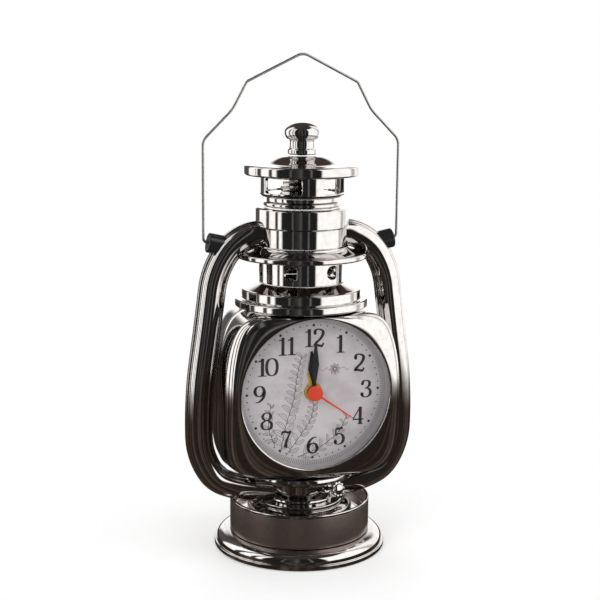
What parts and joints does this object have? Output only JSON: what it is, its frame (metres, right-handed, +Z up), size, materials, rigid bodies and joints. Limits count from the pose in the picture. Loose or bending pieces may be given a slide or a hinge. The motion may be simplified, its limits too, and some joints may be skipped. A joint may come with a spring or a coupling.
{
  "type": "lantern alarm clock",
  "caption": "Quartz alarm clock shaped like an oil lantern: round dial in a rounded-square body between two bent air tubes, vented cap, bail handle and flared foot.",
  "frame": {"origin": "middle of the round foot on the surface it stands on", "axes": "+Z up along the lantern's axis, dial faces -Y, +X to the right of the dial"},
  "size_m": [0.1084, 0.0798, 0.227],
  "materials": {
    "dark_chrome": "dark mirror plating over moulded plastic",
    "satin_band": "brushed dark brown-grey plating over moulded plastic",
    "bail_steel": "drawn wire, lightly dulled",
    "black_plastic": "fine moulded grain",
    "clear_lens": "clear and polished",
    "dial_print": "matt printed card",
    "hand_black": "satin black paint",
    "hand_orange": "satin red-orange",
    "hand_yellow": "satin yellow paint",
    "white_plastic": "smooth white moulding",
    "magnet": "dark sintered magnet",
    "iron_plate": "stamped sheet, bright",
    "copper_wire": "lacquered copper winding",
    "board_green": "green board lacquer",
    "brass_disc": "plain sheet",
    "cell_jacket": "smooth plain jacket over a metal can"
  },
  "bodies": {
    "lantern": {"foot_ring": "dark_chrome", "base_plate": "black_plastic", "drum_band": "satin_band", "base_deck": "dark_chrome", "pedestal": "dark_chrome", "gallery_ring": "dark_chrome", "wick_boss": "dark_chrome", "left_tube_front": "dark_chrome", "left_tube_rear": "dark_chrome", "right_tube_front": "dark_chrome", "right_tube_rear": "dark_chrome", "left_ear": "dark_chrome", "right_ear": "dark_chrome", "housing_front": "dark_chrome", "housing_rear": "dark_chrome", "neck_rings": "dark_chrome", "draft_neck": "dark_chrome", "hood_disc": "dark_chrome", "chimney": "dark_chrome", "collar_ring": "dark_chrome", "vent_collar": "dark_chrome", "cap_disc": "dark_chrome", "cap_knob": "dark_chrome", "bezel_ring": "black_plastic", "lens": "clear_lens", "dial": "dial_print", "movement_front": "black_plastic", "movement_plate": "black_plastic", "rear_case": "black_plastic", "stator": "iron_plate", "coil": "copper_wire", "circuit_board": "board_green", "buzzer": "brass_disc", "battery_cell": "cell_jacket", "positive_contact": "iron_plate", "negative_contact": "iron_plate"},
    "bail": {"bail": "bail_steel"},
    "wick_wheel": {"wick_wheel": "dark_chrome"},
    "rotor": {"rotor": "magnet"},
    "intermediate": {"intermediate_wheel": "white_plastic"},
    "second": {"second_hand": "hand_orange", "second_wheel": "white_plastic"},
    "third": {"third_wheel": "white_plastic"},
    "centre": {"centre_wheel": "white_plastic"},
    "minute": {"minute_hand": "hand_black", "minute_pipe": "white_plastic"},
    "motion": {"motion_wheel": "white_plastic"},
    "hour": {"hour_hand": "hand_black", "hour_wheel": "white_plastic"},
    "time_set": {"time_set_knob": "black_plastic"},
    "alarm": {"alarm_hand": "hand_yellow", "alarm_wheel": "white_plastic"},
    "alarm_set": {"alarm_set_knob": "black_plastic"},
    "alarm_switch": {"alarm_switch": "black_plastic"},
    "battery_cover": {"battery_cover": "black_plastic"}
  },
  "joints": [
    {"name": "bail_swing", "type": "hinge", "parent": "lantern", "child": "bail", "pos_m": [0, 0, 0.1434], "axis": [1, 0, 0], "range_deg": [-145, 145]},
    {"name": "wick_turn", "type": "hinge", "parent": "lantern", "child": "wick_wheel", "pos_m": [0.01141, -0.02447, 0.03197], "axis": [0.4134, -0.8865, 0.2079], "continuous": true},
    {"name": "rotor_turn", "type": "hinge", "parent": "lantern", "child": "rotor", "pos_m": [0.01097, 0, 0.06786], "axis": [0, 1, 0], "continuous": true},
    {"name": "intermediate_turn", "type": "hinge", "parent": "lantern", "child": "intermediate", "pos_m": [0.0042, 0, 0.07033], "axis": [0, 1, 0], "continuous": true},
    {"name": "second_turn", "type": "hinge", "parent": "lantern", "child": "second", "pos_m": [0, 0, 0.0776], "axis": [0, 1, 0], "continuous": true},
    {"name": "third_turn", "type": "hinge", "parent": "lantern", "child": "third", "pos_m": [-0.00883, 0, 0.0725], "axis": [0, 1, 0], "continuous": true},
    {"name": "centre_turn", "type": "hinge", "parent": "lantern", "child": "centre", "pos_m": [0, 0, 0.0776], "axis": [0, 1, 0], "continuous": true},
    {"name": "minute_turn", "type": "hinge", "parent": "lantern", "child": "minute", "pos_m": [0, 0, 0.0776], "axis": [0, 1, 0], "continuous": true},
    {"name": "motion_turn", "type": "hinge", "parent": "lantern", "child": "motion", "pos_m": [0.0036, 0, 0.08384], "axis": [0, 1, 0], "continuous": true},
    {"name": "hour_turn", "type": "hinge", "parent": "lantern", "child": "hour", "pos_m": [0, 0, 0.0776], "axis": [0, 1, 0], "continuous": true},
    {"name": "time_set_turn", "type": "hinge", "parent": "lantern", "child": "time_set", "pos_m": [0.00765, 0, 0.09085], "axis": [0, 1, 0], "continuous": true},
    {"name": "alarm_turn", "type": "hinge", "parent": "lantern", "child": "alarm", "pos_m": [0, 0, 0.0776], "axis": [0, 1, 0], "continuous": true},
    {"name": "alarm_set_turn", "type": "hinge", "parent": "lantern", "child": "alarm_set", "pos_m": [-0.00742, 0, 0.08502], "axis": [0, 1, 0], "continuous": true},
    {"name": "switch_slide", "type": "slide", "parent": "lantern", "child": "alarm_switch", "axis": [1, 0, 0], "range_m": [0, 0.004]},
    {"name": "cover_swing", "type": "hinge", "parent": "lantern", "child": "battery_cover", "pos_m": [0, 0.0212, 0.05325], "axis": [-1, 0, 0], "range_deg": [0, 80]}
  ],
  "couplings": [
    {"joint": "intermediate_turn", "follows": "rotor_turn", "ratio": -0.2},
    {"joint": "second_turn", "follows": "rotor_turn", "ratio": 0.033333},
    {"joint": "third_turn", "follows": "rotor_turn", "ratio": -0.0044444},
    {"joint": "centre_turn", "follows": "rotor_turn", "ratio": 0.00055556},
    {"joint": "motion_turn", "follows": "minute_turn", "ratio": -0.33333},
    {"joint": "hour_turn", "follows": "minute_turn", "ratio": 0.083333},
    {"joint": "time_set_turn", "follows": "minute_turn", "ratio": 0.66667},
    {"joint": "alarm_set_turn", "follows": "alarm_turn", "ratio": -1.3333}
  ]
}
